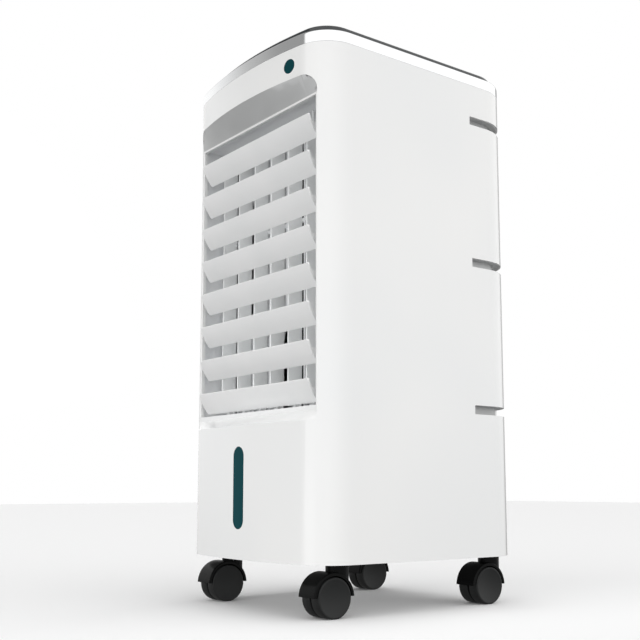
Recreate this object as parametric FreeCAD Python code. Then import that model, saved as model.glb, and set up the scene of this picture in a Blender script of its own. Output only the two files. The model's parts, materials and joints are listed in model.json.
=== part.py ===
"""Tower evaporative air cooler on four hooded swivel casters, one STEP per sub-component.

+Z is up, the louvred front faces -Y and X runs to the right of someone facing the front.
The origin lies on the floor, under the middle of the body. Every size is in millimetres.
"""
import FreeCAD, Part
import math
import os

V = FreeCAD.Vector

# ---- body -------------------------------------------------------------------------------
body_w = 252.0            # across the flat sides
body_d = 286.0            # crest of the bowed front to the flat back
front_bow_r = 490.0       # plan radius of the bowed front
front_corner_r = 40.0
rear_corner_r = 46.0
wall = 2.5                # moulded wall
lower_panel_h = 145.5     # cabinet underside to the sill of the air outlet
upper_panel_h = 51.0      # lip of the visor to the trim band
trim_h = 12.6
trim_w = 8.0              # trim band's width in plan
trim_edge_r = 2.5
cover_rise = 8.0          # top cover above the trim band
cover_edge_r = 2.0
cover_gap = 0.3
cover_wall = 3.0
cover_lift = 2.0          # cover's lower rim above the body
rear_split_in = 13.0      # rear panel's joint line, in from the back
rail_d = 8.0              # rail behind the rear panel's upper screws
rail_above_filter = 3.0
cut_past = 5.0            # how far a cutting shape passes the surface it cuts

# ---- air outlet -------------------------------------------------------------------------
louvre_count = 8
louvre_pitch = 37.7
louvre_chord = 25.0
louvre_t = 2.2
louvre_bow = 1.2          # sagitta of the curved slat
louvre_tilt = 30.0        # degrees, upper edge forward
louvre_end_gap = 5.0
louvre_corner_r = 2.0
first_louvre_drop = 32.0  # lip of the visor to the first louvre's axis
last_louvre_rise = 19.1   # sill to the last louvre's axis
louvre_pin_r = 2.0
louvre_pin_back = 8.0     # flat louvre plane to the louvres' pins
louvre_mid_back = 1.2     # flat louvre plane to the middle of a slat's chord
frame_side_gap = 1.0      # outlet's edge to the inside of the louvre frame
louvre_cheek_t = 1.8
louvre_hub_r = 3.4
outlet_side = 18.0        # body side to the outlet's edge
recess_rim = 3.1          # front surface beside the outlet to the flat louvre plane
recess_margin = 3.0       # flat rim beside the outlet
recess_corner_r = 16.0
outlet_edge = 2.4         # plate's edge above the outlet
sill_edge = 4.6           # plate's edge below the outlet
visor_h = 19.5
scoop_h = 10.0
plate_t = 4.0
arm_r = 8.0               # louvre axis to its link pin
link_pin_r = 1.5
arm_t = 2.0
arm_half_w = 2.4
link_t = 2.0
link_half_w = 2.6
link_end = 4.0            # link bar past its last hole
link_side_gap = 0.4       # arm to link bar
louvre_link_in = 11.4     # outlet's edge to the louvre link
vane_count = 7
vane_t = 1.8
vane_d = 18.0
vane_side = 10.8          # outlet's edge to the outer vanes
vane_pin_in = 29.0        # louvre plane to the vanes' axes
vane_pin_r = 2.0
vane_foot = 9.5           # vane's ends to the frame's floor and ceiling
vane_arm_r = 7.0
vane_edge_r = 0.8
vane_link_rise = 3.2      # frame floor to the vane link
vane_link_t = 3.0
vane_link_half_w = 2.4
pin_root = 4.0            # how deep a pin runs into its vane
pin_short = 0.4           # pin end to the outside of the frame
crank_half_w = 3.4
frame_depth = 37.0
frame_wall = 3.0
grille_t = 4.0
grille_bar = 2.6
grille_pitch = 10.8
grille_rows = 3
grille_rail = 4.0

# ---- clearances -------------------------------------------------------------------------
running = 0.05            # radial, shaft in bore
open_pivot = 0.35         # radial, pin in link where the linkage is opened
body_gap = 0.5            # between pieces that move past each other

# ---- windows ----------------------------------------------------------------------------
window_proud = 0.2
ir_r = 7.5
ir_side = 47.7            # body side to the receiver's centre
ir_below_trim = 17.4
level_w = 19.3
level_h = 83.5
level_above_base = 30.2

# ---- grooves on the rear corners --------------------------------------------------------
groove_h = 9.5
groove_deep = 9.0
groove_front_y = 71.0
groove_rear_side = 36.0   # body side to the groove's end on the back
liner_t = 1.6
upper_groove_rise = 10.5  # above the outlet's top
lower_groove_rise = 8.0   # above the outlet's sill

# ---- fan --------------------------------------------------------------------------------
rotor_r = 44.0
rotor_in = 113.0          # louvre plane to the rotor's axis
rotor_blades = 24
rotor_blade_t = 1.2
rotor_blade_w = 11.0
rotor_disc_t = 2.5
rotor_clear = 3.5
rotor_ring_t = 2.0        # ring that ties the blades at mid height
blade_in = 0.4            # blade tips, in from the disc's edge
blade_lag = 0.12          # radians by which a blade's inner edge trails its tip
blade_bow = 0.04          # radians by which its middle stands ahead of the straight line
shaft_r = 3.0
motor_shell = 6.0         # motor's end plate below its shaft bore
scroll_gap = 8.0
scroll_t = 2.5
scroll_rise = 3.5         # outlet's sill to the scroll's floor
scroll_drop = 6.0         # outlet's top to the scroll's roof
scroll_sheet_in = 3.0     # guide sheet inside the scroll's edge
scroll_hole_r = 12.0
scroll_guide = (185.0, 150.0, 115.0)  # degrees round the rotor of the guide sheet's ends and middle
cutoff_gap = 5.5          # rotor to the cut-off sheet
cutoff_before = 8.0       # rotor's axis to the cut-off sheet's end
fan_motor_r = 30.0
bearing_r = 10.0
bearing_h = 9.0
swing_motor_r = 14.0
swing_motor_h = 19.0
swing_motor_offset = 8.0
swing_ear_half = 21.0
swing_ear_t = 1.2
swing_shaft_in = 9.0      # crank shaft's length in the swing motor
lead_box_w = 15.0
lead_box_d = 17.0
crank_shaft_r = 2.5

# ---- water circuit ----------------------------------------------------------------------
deck_above_base = 119.0
deck_t = 3.0
base_t = 3.5
tank_front_in = 15.0      # crest of the front to the tank
tank_wall = 2.5
tank_corner_r = 8.0
tank_side_gap = 6.0       # tank to the caster sockets' bosses
tank_top_gap = 4.0        # tank rim to the deck
tank_lip = 2.0            # opening's top edge below the deck
tank_rail_t = 2.0
tank_rail_h = 10.0
tank_face_gap = 0.8
handle_w = 60.0
handle_h = 22.0
handle_deep = 14.0
handle_below_top = 9.0
rear_open_side = 42.0     # body side to the rear openings
rear_open_r = 6.0
rear_face_in = 0.5        # drawer and filter faces, in from the back
filter_sill = 26.0        # deck to the filter opening
filter_drop = 14.0        # top of the body to the filter opening
filter_face_t = 4.0       # bars in front of the mesh
filter_mullion = 3.0
filter_depth = 11.0
filter_border = 11.0
filter_bar = 2.4
filter_pitch = 12.0
mesh_t = 0.8
pad_in = 23.0             # back to the cooling pad
pad_t = 28.0
pad_drop = 32.0           # filter opening's top to the pad's top
pad_side_in = 2.0         # filter opening's side to the pad's side
pad_frame_t = 2.4
trough_h = 16.0
trough_wall = 2.0
trough_over = 4.0         # trough past the pad, front and back
drip_r = 1.5
drip_pitch = 16.0
hose_r = 5.0
hose_x = 68.0
hose_before_pad = 13.0
hose_over_trough = 12.0
hose_over_pad = 10.0
pump_w = 25.0
pump_d = 36.0
pump_h = 40.0
pump_side = 19.0          # hose's axis to the pump's far side
pump_corner_r = 4.0
spigot_gap = 1.5          # spigot's top to the hose
spigot_step = 1.0
gland_r = 8.0
gland_bore_r = 3.6
gland_len = 7.0
gland_side = 60.0         # body side to the inlet's axis

# ---- controls ---------------------------------------------------------------------------
button_count = 5
button_r = 7.0
button_pitch = 24.0
button_gap = 0.3
button_proud = 0.6
button_front_in = 46.0    # crest of the front to the row of buttons
button_flange = 1.5
button_flange_w = 1.5
button_edge_r = 0.8
button_under = 4.0        # flange below the cover plate
board_w = 136.0
board_d = 44.0
board_t = 1.6
board_below_button = 2.5
board_behind_button = 8.0 # row of buttons to the board's middle
board_post_r = 3.0
board_post_in = 5.0
switch_w = 6.0
switch_h = 1.5
socket_w = 24.0
socket_d = 14.0
socket_h = 6.0

# ---- fasteners --------------------------------------------------------------------------
screw_r = 1.4
screw_head_r = 3.0
screw_head_h = 1.8
boss_r = 5.0
boss_h = 26.0
base_screw_in = 30.0      # corner curve's end to the base screws
screw_tip = 3.0           # hole past a screw's end
screw_sunk = 0.2
rear_screw_len = 9.0
rear_block_w = 12.0
rear_block_d = 14.0

# ---- casters ----------------------------------------------------------------------------
wheel_r = 19.5
caster_half_w = 13.6
caster_web = 1.0          # half thickness of the web between the wheels
wheel_gap = 0.3
wheel_edge_r = 1.2
hood_gap = 1.2
hood_t = 3.2
hood_lift = 1.0           # hood's ends above the axle
hood_side_in = 0.6        # hood's sides, in from the wheels' outer faces
hood_edge_r = 1.0
hub_r = 5.5
cabinet_above_hood = 7.6
trail = 12.7
neck_r = 11.3
neck_gap = 0.5
stem_r = 4.5
stem_h = 24.0
stem_root = 3.0           # stem's length inside the neck
socket_cap = 2.0          # boss's roof over the socket
socket_r = 7.0
socket_boss_r = 9.0
axle_r = 2.5
axle_end_in = 3.0         # axle's ends, in from the wheels' outer faces
caster_side_in = 30.7     # body side to the stems
front_stem_in = 53.0
rear_stem_in = 25.0

# ---- derived places ---------------------------------------------------------------------
front_y = -body_d / 2
rear_y = body_d / 2
half_w = body_w / 2
body_bottom = 2 * wheel_r + hood_gap + hood_t + cabinet_above_hood
sill_z = body_bottom + lower_panel_h
outlet_half = half_w - outlet_side
outlet_h = last_louvre_rise + (louvre_count - 1) * louvre_pitch + first_louvre_drop
lip_z = sill_z + outlet_h
visor_z = lip_z + visor_h
scoop_z = sill_z - scoop_h
body_top = lip_z + upper_panel_h
trim_top = body_top + trim_h
cover_top = trim_top + cover_rise
louvre_half = outlet_half - louvre_end_gap
frame_half = outlet_half + frame_side_gap
vane_pitch = 2 * (outlet_half - vane_side) / (vane_count - 1)
vane_low = sill_z + vane_foot
vane_high = lip_z - vane_foot
rear_split_y = rear_y - rear_split_in
deck_z = body_bottom + deck_above_base
deck_top = deck_z + deck_t
scroll_low = sill_z + scroll_rise
scroll_high = lip_z - scroll_drop
rear_half = half_w - rear_open_side
filter_low = deck_z + filter_sill
filter_high = body_top - filter_drop
pad_back_y = rear_y - pad_in
pad_front_y = pad_back_y - pad_t
pad_top = filter_high - pad_drop
pad_half = rear_half - pad_side_in
tank_front_y = front_y + tank_front_in
tank_low = body_bottom + base_t + body_gap
tank_high = deck_z - tank_top_gap
tank_half = half_w - caster_side_in - socket_boss_r - tank_side_gap
tank_open_low = body_bottom + base_t
tank_open_high = deck_z - tank_lip
hose_y = pad_front_y - hose_before_pad
caster_x = half_w - caster_side_in
button_y = front_y + button_front_in
cover_under = cover_top - cover_wall
grooves = [
    lip_z + upper_groove_rise,
    (lip_z + upper_groove_rise + sill_z + lower_groove_rise) / 2,
    sill_z + lower_groove_rise,
]


# ---- small helpers ----------------------------------------------------------------------
def box(x0, x1, y0, y1, z0, z1):
    return Part.makeBox(x1 - x0, y1 - y0, z1 - z0, V(x0, y0, z0))


def rod_x(r, y, z, x0, x1):
    return Part.makeCylinder(r, x1 - x0, V(x0, y, z), V(1, 0, 0))


def rod_y(r, x, z, y0, y1):
    return Part.makeCylinder(r, y1 - y0, V(x, y0, z), V(0, 1, 0))


def rod_z(r, x, y, z0, z1):
    return Part.makeCylinder(r, z1 - z0, V(x, y, z0), V(0, 0, 1))


def fuse(shapes):
    return shapes[0].multiFuse(shapes[1:]).removeSplitter()


def both_sides(shape):
    return [shape, shape.mirror(V(0, 0, 0), V(1, 0, 0))]


def save(name, shapes):
    """Write one node: a single solid, or a group of separate solids."""
    group = shapes if isinstance(shapes, list) else [shapes]
    solids = [solid for shape in group for solid in shape.Solids]
    result = solids[0] if len(solids) == 1 else Part.makeCompound(solids)
    result.exportStep("parts/" + name + ".step")


def arc(a, b, c):
    return Part.Arc(V(*a), V(*b), V(*c)).toShape()


def line(a, b):
    return Part.LineSegment(V(*a), V(*b)).toShape()


def rounded_box(x0, x1, y0, y1, z0, z1, r, along):
    """Box with its four edges along one axis rounded."""
    shape = box(x0, x1, y0, y1, z0, z1)
    edges = []
    for edge in shape.Edges:
        a, b = (vertex.Point for vertex in edge.Vertexes)
        if abs((b - a).normalize().dot(V(*along))) > 0.99:
            edges.append(edge)
    return shape.makeFillet(r, edges)


# ---- body outline -----------------------------------------------------------------------
bow_y = front_y + front_bow_r
corner_x = half_w - front_corner_r
corner_y = bow_y - math.sqrt((front_bow_r - front_corner_r) ** 2 - corner_x ** 2)
corner_turn = math.asin(corner_x / (front_bow_r - front_corner_r))
rear_x = half_w - rear_corner_r
rear_corner_y = rear_y - rear_corner_r


def on_bow(turn, inset=0.0):
    r = front_bow_r - inset
    return r * math.sin(turn), bow_y - r * math.cos(turn)


def on_corner(turn, inset=0.0):
    r = front_corner_r - inset
    return corner_x + r * math.sin(turn), corner_y - r * math.cos(turn)


def outline_y(x):
    """Front surface at a distance x from the middle."""
    if abs(x) <= on_bow(corner_turn)[0]:
        return bow_y - math.sqrt(front_bow_r ** 2 - x ** 2)
    return corner_y - math.sqrt(front_corner_r ** 2 - (abs(x) - corner_x) ** 2)


flat_y = outline_y(outlet_half) + recess_rim
plate_back_y = flat_y + plate_t
frame_back_y = plate_back_y + frame_depth
louvre_pin_y = flat_y + louvre_pin_back
louvre_mid_y = flat_y + louvre_mid_back
vane_y = flat_y + vane_pin_in
rotor_y = flat_y + rotor_in


def plan_wire(inset, z):
    """The body's outline in plan, moved in by inset."""
    quarter = math.pi / 4
    far_r = rear_corner_r - inset
    side = half_w - inset
    back = rear_y - inset
    tx, ty = on_bow(corner_turn, inset)
    mx, my = on_corner((corner_turn + math.pi / 2) / 2, inset)
    rx = rear_x + far_r * math.cos(quarter)
    ry = rear_corner_y + far_r * math.sin(quarter)
    return Part.Wire([
        arc((-tx, ty, z), (0, front_y + inset, z), (tx, ty, z)),
        arc((tx, ty, z), (mx, my, z), (side, corner_y, z)),
        line((side, corner_y, z), (side, rear_corner_y, z)),
        arc((side, rear_corner_y, z), (rx, ry, z), (rear_x, back, z)),
        line((rear_x, back, z), (-rear_x, back, z)),
        arc((-rear_x, back, z), (-rx, ry, z), (-side, rear_corner_y, z)),
        line((-side, rear_corner_y, z), (-side, corner_y, z)),
        arc((-side, corner_y, z), (-mx, my, z), (-tx, ty, z)),
    ])


def plan_prism(inset, z0, z1):
    return Part.Face(plan_wire(inset, z0)).extrude(V(0, 0, z1 - z0))


def before(y, z0, z1):
    """Everything in front of a plane across the body."""
    return box(-body_w, body_w, -body_d, y, z0, z1)


def behind(y, z0, z1):
    return box(-body_w, body_w, y, body_d, z0, z1)


# ---- main shell -------------------------------------------------------------------------
def slope_loft(flat_z, bow_z):
    """Space in front of a surface that runs from the flat plane out to the bowed front."""
    edge_x = outlet_half + recess_margin
    split_x = on_bow(corner_turn)[0]
    ahead = front_y - cut_past
    edge_y = outline_y(edge_x)
    split_y = outline_y(split_x)
    mid_x = (edge_x + split_x) / 2
    mid_y = outline_y(mid_x)
    flat = Part.Wire([
        line((-edge_x, flat_y, flat_z), (-split_x, flat_y, flat_z)),
        line((-split_x, flat_y, flat_z), (split_x, flat_y, flat_z)),
        line((split_x, flat_y, flat_z), (edge_x, flat_y, flat_z)),
        line((edge_x, flat_y, flat_z), (edge_x, ahead, flat_z)),
        line((edge_x, ahead, flat_z), (-edge_x, ahead, flat_z)),
        line((-edge_x, ahead, flat_z), (-edge_x, flat_y, flat_z)),
    ])
    bowed = Part.Wire([
        arc((-edge_x, edge_y, bow_z), (-mid_x, mid_y, bow_z), (-split_x, split_y, bow_z)),
        arc((-split_x, split_y, bow_z), (0, front_y, bow_z), (split_x, split_y, bow_z)),
        arc((split_x, split_y, bow_z), (mid_x, mid_y, bow_z), (edge_x, edge_y, bow_z)),
        line((edge_x, edge_y, bow_z), (edge_x, ahead, bow_z)),
        line((edge_x, ahead, bow_z), (-edge_x, ahead, bow_z)),
        line((-edge_x, ahead, bow_z), (-edge_x, edge_y, bow_z)),
    ])
    return Part.makeLoft([flat, bowed], True, True)


def recess():
    """Recess in the bowed front, seen from the front as a rectangle with round top corners."""
    edge_x = outlet_half + recess_margin
    ahead = front_y - cut_past
    window = box(-edge_x, edge_x, ahead, plate_back_y, scoop_z, visor_z)
    top_edges = []
    for edge in window.Edges:
        a, b = (vertex.Point for vertex in edge.Vertexes)
        if abs(a.z - visor_z) < 0.01 and abs(b.z - visor_z) < 0.01 and abs(a.x - b.x) < 0.01:
            top_edges.append(edge)
    window = window.makeFillet(recess_corner_r, top_edges)
    straight = box(-edge_x, edge_x, ahead, flat_y, sill_z, lip_z)
    spaces = [straight, slope_loft(lip_z, visor_z), slope_loft(sill_z, scoop_z)]
    return [space.common(window) for space in spaces]


def groove_space(z, depth, grow=0.0):
    """Band round both rear corners, as deep as the groove."""
    low, high = z - groove_h / 2 - grow, z + groove_h / 2 + grow
    band = plan_prism(-1.0, low, high).cut(plan_prism(depth, low, high))
    keep = box(half_w - groove_rear_side - grow, body_w, groove_front_y - grow, body_d, low, high)
    right = band.common(keep)
    return both_sides(right)


def stadium(width, height, mid_z):
    """Upright rounded slot through the front, centred on the middle plane."""
    r = width / 2
    low, high = mid_z - height / 2 + r, mid_z + height / 2 - r
    y0, y1 = front_y - cut_past, front_y + wall + cut_past
    return fuse([box(-r, r, y0, y1, low, high), rod_y(r, 0, low, y0, y1), rod_y(r, 0, high, y0, y1)])


level_mid_z = body_bottom + level_above_base + level_h / 2
ir_x = half_w - ir_side
ir_z = body_top - ir_below_trim
rail_y = rear_split_y - rail_d


def base_screws():
    side = half_w - wall / 2 - boss_r
    rows = (corner_y + base_screw_in, rear_corner_y - base_screw_in)
    return [(sx * side, y) for sx in (-1, 1) for y in rows]


def rear_screws():
    mid = (deck_top + filter_low) / 2
    high = (filter_high + body_top) / 2
    return [(sx * rear_half / 2, z) for sx in (-1, 1) for z in (mid, high)]


def ir_hole():
    return rod_y(ir_r, ir_x, ir_z, front_y - cut_past, outline_y(ir_x) + wall + cut_past)


def main_shell():
    ring = plan_prism(0, body_bottom, body_top).cut(plan_prism(wall, body_bottom, body_top))
    ring = ring.common(before(rear_split_y, body_bottom, body_top))
    edge_x = outlet_half + recess_margin + wall
    block = plan_prism(0, scoop_z - wall, visor_z + wall)
    block = block.common(box(-edge_x, edge_x, front_y - cut_past, plate_back_y, 0, cover_top))
    rail = box(-half_w, half_w, rail_y, rear_split_y, filter_high + rail_above_filter, body_top)
    rail = rail.common(plan_prism(wall / 2, body_bottom, body_top))
    bosses = []
    for x, y in base_screws():
        bosses.append(rod_z(boss_r, x, y, body_bottom + base_t, body_bottom + boss_h))
    shell = fuse([ring, block, rail] + bosses)
    cuts = recess()
    cuts.append(box(-outlet_half, outlet_half, flat_y - cut_past, plate_back_y + cut_past,
                    sill_z + sill_edge, lip_z - outlet_edge))
    cuts.append(ir_hole())
    cuts.append(stadium(level_w, level_h, level_mid_z))
    for z in grooves:
        cuts += groove_space(z, wall + 1)
    for x, y in base_screws():
        cuts.append(rod_z(screw_r, x, y, body_bottom, body_bottom + boss_h - screw_tip))
    for x, z in rear_screws()[1::2]:
        cuts.append(rod_y(screw_r, x, z, rail_y - cut_past, rear_y))
    return shell.cut(cuts)


def rear_opening(low, high):
    side = rear_half
    return rounded_box(-side, side, rear_split_y, rear_y + cut_past, low, high, rear_open_r, (0, 1, 0))


def rear_panel():
    ring = plan_prism(0, body_bottom, body_top).cut(plan_prism(wall, body_bottom, body_top))
    panel = ring.common(behind(rear_split_y, body_bottom, body_top))
    cuts = [
        rear_opening(tank_open_low, tank_open_high),
        rear_opening(filter_low, filter_high),
        rod_y(gland_r, gland_x, gland_z, rear_split_y, rear_y + cut_past),
    ]
    for z in grooves:
        cuts += groove_space(z, wall + 1)
    for x, z in rear_screws():
        cuts.append(rod_y(screw_r, x, z, rear_split_y, rear_y + cut_past))
        cuts.append(rod_y(screw_head_r, x, z, rear_y - screw_head_h, rear_y + cut_past))
    return panel.cut(cuts)


gland_x = half_w - gland_side
gland_z = (deck_top + filter_low) / 2


def groove_liners():
    """Dark channels that close the grooves from the inside."""
    liners = []
    for z in grooves:
        outer = groove_space(z, wall + groove_deep, liner_t)
        hollow = groove_space(z, wall + groove_deep - liner_t)
        inside = plan_prism(wall, z - groove_h, z + groove_h)
        for shell, space in zip(outer, hollow):
            liners.append(shell.common(inside).cut(space))
    return liners


def deck():
    plate = plan_prism(wall, deck_z, deck_top)
    blocks = []
    half = rear_block_w / 2
    for x, z in rear_screws()[0::2]:
        blocks.append(box(x - half, x + half, rear_y - wall - rear_block_d, rear_y - wall,
                          deck_top, z + half))
    plate = fuse([plate] + blocks)
    cuts = [rod_z(hose_r, hose_x, hose_y, deck_z - cut_past, deck_top + cut_past)]
    for x, z in rear_screws()[0::2]:
        cuts.append(rod_y(screw_r, x, z, rear_y - wall - rear_screw_len - screw_tip, rear_y))
    return plate.cut(cuts)


def base_tray():
    plate = plan_prism(wall, body_bottom, body_bottom + base_t)
    bosses, cuts = [], []
    for x, y in caster_places():
        bosses.append(rod_z(socket_boss_r, x, y, body_bottom, socket_top + socket_cap))
        cuts.append(rod_z(socket_r, x, y, body_bottom - cut_past, socket_top))
    rail_x = tank_half + body_gap
    rail = box(rail_x, rail_x + tank_rail_t, tank_front_y, rear_stem_y - socket_boss_r - cut_past,
               body_bottom, body_bottom + base_t + tank_rail_h)
    for x, y in base_screws():
        cuts.append(rod_z(screw_r, x, y, body_bottom - cut_past, body_bottom + base_t + cut_past))
        cuts.append(rod_z(screw_head_r, x, y, body_bottom - cut_past, body_bottom + screw_head_h))
    return fuse([plate] + bosses + both_sides(rail)).cut(cuts)


def screws():
    parts = []
    for x, y in base_screws():
        head = rod_z(screw_head_r, x, y, body_bottom, body_bottom + screw_head_h)
        shank = rod_z(screw_r, x, y, body_bottom, body_bottom + boss_h - 2 * screw_tip)
        parts.append(fuse([head, shank]))
    for x, z in rear_screws():
        head = rod_y(screw_head_r, x, z, rear_y - screw_head_h, rear_y - screw_sunk)
        shank = rod_y(screw_r, x, z, rear_y - wall - rear_screw_len, rear_y - screw_head_h)
        parts.append(fuse([head, shank]))
    return parts


# ---- top --------------------------------------------------------------------------------
def round_top_edges(shape, z, r):
    edges = [edge for edge in shape.Edges
             if all(abs(vertex.Point.z - z) < 0.01 for vertex in edge.Vertexes)]
    return shape.makeFillet(r, edges)


def trim_band():
    outer = round_top_edges(plan_prism(0, body_top, trim_top), trim_top, trim_edge_r)
    return outer.cut(plan_prism(trim_w, body_top - cut_past, trim_top + cut_past))


def button_places():
    start = -(button_count - 1) / 2 * button_pitch
    return [start + i * button_pitch for i in range(button_count)]


board_top = cover_under - button_under - board_below_button
board_mid_y = button_y + board_behind_button


def top_cover():
    inset = trim_w + cover_gap
    outer = round_top_edges(plan_prism(inset, body_top + cover_lift, cover_top), cover_top, cover_edge_r)
    cover = outer.cut(plan_prism(inset + cover_wall, body_top, cover_under))
    posts = []
    for sx in (-1, 1):
        for sy in (-1, 1):
            x = sx * (board_w / 2 - board_post_in)
            y = board_mid_y + sy * (board_d / 2 - board_post_in)
            posts.append(rod_z(board_post_r, x, y, board_top, cover_under))
    cover = fuse([cover] + posts)
    holes = [rod_z(button_r + button_gap, x, button_y, cover_under - cover_wall, cover_top + cut_past)
             for x in button_places()]
    return cover.cut(holes)


def button(x):
    top = cover_top + button_proud
    cap = rod_z(button_r, x, button_y, cover_under - button_under, top)
    cap = cap.makeFillet(button_edge_r, [edge for edge in cap.Edges if edge.BoundBox.ZMin > top - 0.01])
    flange_z = cover_under - button_under
    flange = rod_z(button_r + button_flange_w, x, button_y, flange_z, flange_z + button_flange)
    return fuse([cap, flange])


def control_board():
    board = box(-board_w / 2, board_w / 2, board_mid_y - board_d / 2, board_mid_y + board_d / 2,
                board_top - board_t, board_top)
    parts = [board]
    half = switch_w / 2
    for x in button_places():
        parts.append(box(x - half, x + half, button_y - half, button_y + half,
                         board_top, board_top + switch_h))
    parts.append(box(-socket_w / 2, socket_w / 2, board_mid_y + cut_past, board_mid_y + cut_past + socket_d,
                     board_top - board_t - socket_h, board_top))
    return fuse(parts)


def front_skin(cutter):
    """Piece of the front wall, a little proud of it."""
    z0, z1 = cutter.BoundBox.ZMin, cutter.BoundBox.ZMax
    skin = plan_prism(-window_proud, z0, z1).cut(plan_prism(wall, z0, z1))
    return skin.common(cutter)


# ---- air outlet -------------------------------------------------------------------------
def louvre_axis_z(number):
    return lip_z - first_louvre_drop - (number - 1) * louvre_pitch


def vane_x(number):
    return -outlet_half + vane_side + (number - 1) * vane_pitch


louvre_link_x = outlet_half - louvre_link_in


def louvre_slat():
    """Curved slat with its chord upright, centred on the origin."""
    half = louvre_chord / 2
    rise, t = louvre_bow, louvre_t / 2
    x0 = -louvre_half
    profile = Part.Wire([
        arc((x0, t, -half), (x0, t - rise, 0), (x0, t, half)),
        line((x0, t, half), (x0, -t, half)),
        arc((x0, -t, half), (x0, -t - rise, 0), (x0, -t, -half)),
        line((x0, -t, -half), (x0, t, -half)),
    ])
    slat = Part.Face(profile).extrude(V(2 * louvre_half, 0, 0))
    face = rounded_box(-louvre_half, louvre_half, -10, 10, -half, half, louvre_corner_r, (0, 1, 0))
    return slat.common(face)


def louvre(number):
    z = louvre_axis_z(number)
    slat = louvre_slat()
    slat.rotate(V(0, 0, 0), V(1, 0, 0), louvre_tilt)
    slat.translate(V(0, louvre_mid_y, z))
    parts = [slat]
    back = louvre_mid_y - louvre_bow
    hub = louvre_hub_r
    for side in (-1, 1):
        x0, x1 = sorted((side * (louvre_half - louvre_cheek_t), side * louvre_half))
        parts.append(box(x0, x1, back, louvre_pin_y, z - hub, z + hub))
        parts.append(rod_x(hub, louvre_pin_y, z, x0, x1))
        p0, p1 = sorted((side * (louvre_half - louvre_cheek_t), side * (frame_half + frame_wall - pin_short)))
        parts.append(rod_x(louvre_pin_r, louvre_pin_y, z, p0, p1))
    arm_x0 = louvre_link_x + link_t + link_side_gap
    arm_x1 = arm_x0 + arm_t
    pin_y = louvre_pin_y + arm_r
    parts.append(box(arm_x0, arm_x1, back, pin_y, z - arm_half_w, z + arm_half_w))
    parts.append(rod_x(arm_half_w, pin_y, z, arm_x0, arm_x1))
    parts.append(rod_x(link_pin_r, pin_y, z, louvre_link_x - 2 * link_side_gap, arm_x0 + link_side_gap))
    return fuse(parts)


def louvre_link():
    y = louvre_pin_y + arm_r
    low, high = louvre_axis_z(louvre_count) - link_end, louvre_axis_z(1) + link_end
    bar = box(louvre_link_x, louvre_link_x + link_t, y - link_half_w, y + link_half_w, low, high)
    holes = []
    for number in range(1, louvre_count + 1):
        slack = running if number == 1 else open_pivot
        z = louvre_axis_z(number)
        holes.append(rod_x(link_pin_r + slack, y, z, 0, half_w))
    return bar.cut(holes)


vane_link_low = sill_z + vane_link_rise
vane_link_high = vane_link_low + vane_link_t


def vane(number):
    x = vane_x(number)
    plate = rounded_box(x - vane_t / 2, x + vane_t / 2, vane_y - vane_d / 2, vane_y + vane_d / 2,
                        vane_low, vane_high, vane_edge_r, (0, 0, 1))
    parts = [plate]
    parts.append(rod_z(vane_pin_r, x, vane_y, sill_z - frame_wall + pin_short, vane_low + pin_root))
    parts.append(rod_z(vane_pin_r, x, vane_y, vane_high - pin_root, lip_z + frame_wall - pin_short))
    parts.append(rod_z(link_pin_r, x, vane_y + vane_arm_r, vane_link_low - body_gap, vane_low + pin_root))
    return fuse(parts)


def swing_x():
    return (vane_x(vane_count // 2 + 1) + vane_x(vane_count // 2 + 2)) / 2


def vane_link():
    y = vane_y + vane_arm_r
    half = vane_link_half_w
    bar = box(vane_x(1) - link_end, vane_x(vane_count) + link_end, y - half, y + half,
              vane_link_low, vane_link_high)
    holes = []
    for number in range(1, vane_count + 1):
        slack = running if number == 1 else open_pivot
        holes.append(rod_z(link_pin_r + slack, vane_x(number), y, sill_z, vane_low))
    holes.append(rod_z(link_pin_r + open_pivot, swing_x(), y, sill_z, vane_low))
    return bar.cut(holes)


def swing_crank():
    x = swing_x()
    low, high = sill_z + body_gap, vane_link_low - body_gap
    shaft = rod_z(crank_shaft_r, x, vane_y, sill_z - frame_wall - swing_shaft_in, high)
    half = crank_half_w
    arm = fuse([
        box(x - half, x + half, vane_y, vane_y + vane_arm_r, low, high),
        rod_z(half, x, vane_y, low, high),
        rod_z(half, x, vane_y + vane_arm_r, low, high),
    ])
    pin = rod_z(link_pin_r, x, vane_y + vane_arm_r, low, vane_link_high + body_gap)
    return fuse([shaft, arm, pin])


def swing_motor():
    x = swing_x() + swing_motor_offset
    top = sill_z - frame_wall
    can = rod_z(swing_motor_r, x, vane_y, top - swing_motor_h, top)
    half = crank_half_w
    ears = box(x - swing_ear_half, x + swing_ear_half, vane_y - half, vane_y + half, top - swing_ear_t, top)
    lead_box = box(x - lead_box_w / 2, x + lead_box_w / 2, vane_y, vane_y + lead_box_d,
                   top - swing_motor_h, top - swing_ear_t)
    bore_low = top - swing_shaft_in - body_gap
    bore = rod_z(crank_shaft_r + running, swing_x(), vane_y, bore_low, top + cut_past)
    return fuse([can, ears, lead_box]).cut(bore)


def louvre_frame():
    """Duct that carries the louvres and the vanes."""
    out_x = frame_half + frame_wall
    duct = box(-out_x, out_x, plate_back_y, frame_back_y, sill_z - frame_wall, lip_z + frame_wall)
    cuts = [box(-frame_half, frame_half, flat_y, rotor_y, sill_z, lip_z)]
    for number in range(1, louvre_count + 1):
        z = louvre_axis_z(number)
        cuts.append(rod_x(louvre_pin_r + running, louvre_pin_y, z, -half_w, half_w))
    for number in range(1, vane_count + 1):
        cuts.append(rod_z(vane_pin_r + running, vane_x(number), vane_y, 0, cover_top))
    cuts.append(rod_z(crank_shaft_r + running, swing_x(), vane_y, 0, vane_low))
    return duct.cut(cuts)


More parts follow.
